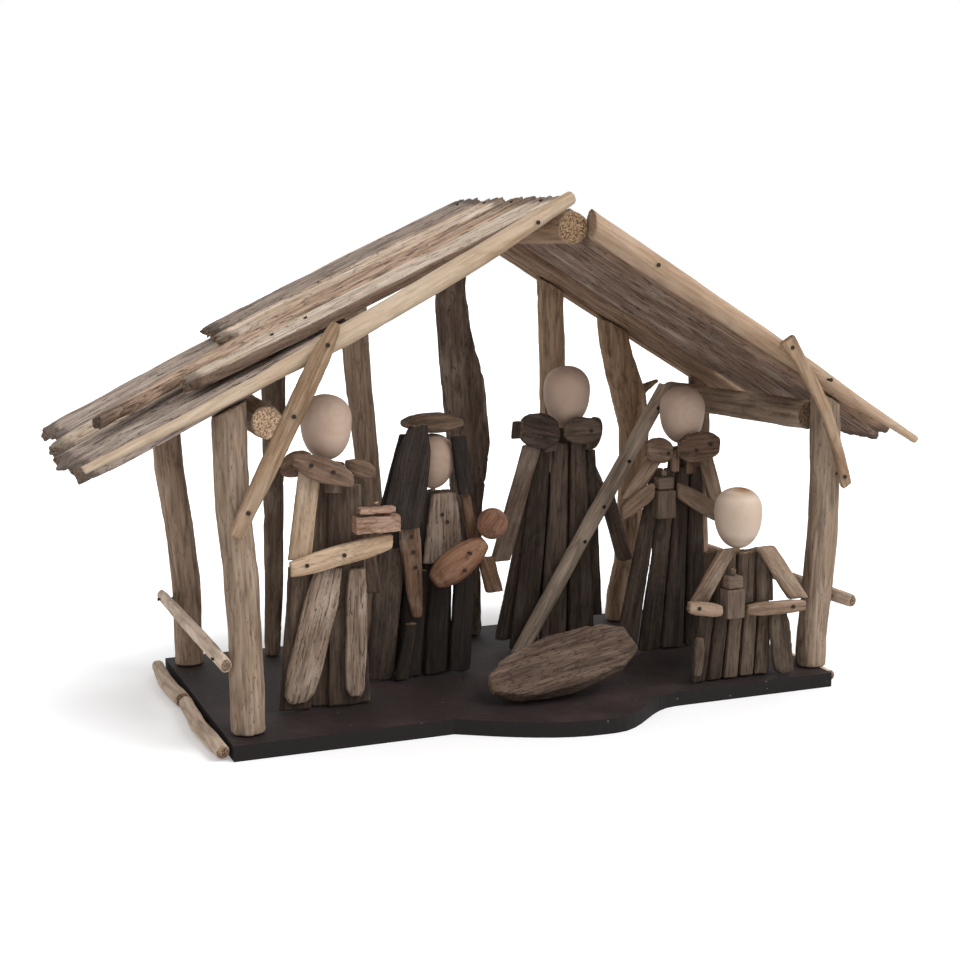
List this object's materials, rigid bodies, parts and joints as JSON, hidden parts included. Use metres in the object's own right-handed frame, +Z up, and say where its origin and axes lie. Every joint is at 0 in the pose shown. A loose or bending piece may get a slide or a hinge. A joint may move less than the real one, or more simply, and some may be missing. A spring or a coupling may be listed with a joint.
{
  "type": "nativity stable",
  "caption": "Open-fronted driftwood stable on a painted board, with standing and kneeling stick figures, a baby and a boat-shaped crib.",
  "frame": {"origin": "middle of the board's flat underside, halfway along its width and its straight depth", "axes": "+X to the right seen from the open front, +Y to the back, +Z up; the figures look along -Y"},
  "size_m": [0.5227, 0.2369, 0.3057],
  "materials": {
    "painted_board": "matte",
    "steel": "satin",
    "dowel_wood": "matte",
    "turned_wood": "matte",
    "pink_wood": "matte",
    "red_driftwood": "matte",
    "dark_driftwood": "matte",
    "brown_driftwood": "matte",
    "robe_driftwood": "matte",
    "pale_driftwood": "matte",
    "slat_driftwood": "matte",
    "grey_driftwood": "matte"
  },
  "bodies": {
    "root": {"base_board": "painted_board", "edge_sticks": "pale_driftwood", "front_left_post": "grey_driftwood", "front_right_post": "grey_driftwood", "back_left_post": "grey_driftwood", "back_second_post": "grey_driftwood", "back_third_post": "grey_driftwood", "back_plank": "dark_driftwood", "back_fifth_post": "grey_driftwood", "forked_branch": "grey_driftwood", "back_right_post": "grey_driftwood", "ridge_pole": "pale_driftwood", "left_purlin": "grey_driftwood", "right_purlin": "grey_driftwood", "left_rafter_pole": "pale_driftwood", "right_rafter_pole": "pale_driftwood", "left_brace": "pale_driftwood", "right_brace": "pale_driftwood", "left_side_rail": "grey_driftwood", "right_side_rail": "grey_driftwood", "left_eave_front_slat": "slat_driftwood", "left_eave_brown_slat": "brown_driftwood", "left_eave_wide_slat": "slat_driftwood", "left_eave_back_slats": "slat_driftwood", "left_upper_front_slat": "slat_driftwood", "left_upper_second_slat": "slat_driftwood", "left_upper_back_slats": "slat_driftwood", "right_front_slat": "slat_driftwood", "right_front_plank": "dark_driftwood", "right_back_plank": "dark_driftwood", "right_back_strips": "slat_driftwood", "right_upper_slats": "slat_driftwood", "board_screws": "steel", "nails": "steel", "neck_dowels": "dowel_wood", "left_king_head": "turned_wood", "left_king_shoulders": "brown_driftwood", "left_king_arms": "pale_driftwood", "left_king_robe": "robe_driftwood", "left_king_gift": "pink_wood", "mother_head": "turned_wood", "mother_veil": "dark_driftwood", "mother_arms": "grey_driftwood", "mother_robe": "robe_driftwood", "baby": "red_driftwood", "father_head": "turned_wood", "father_shoulders": "brown_driftwood", "father_arms": "grey_driftwood", "father_robe": "robe_driftwood", "staff": "grey_driftwood", "right_king_head": "turned_wood", "right_king_shoulders": "brown_driftwood", "right_king_arms": "grey_driftwood", "right_king_robe": "robe_driftwood", "right_king_gift": "pink_wood", "kneeling_king_head": "turned_wood", "kneeling_king_arms": "grey_driftwood", "kneeling_king_robe": "robe_driftwood", "kneeling_king_gift": "pink_wood", "crib": "brown_driftwood"}
  },
  "joints": []
}
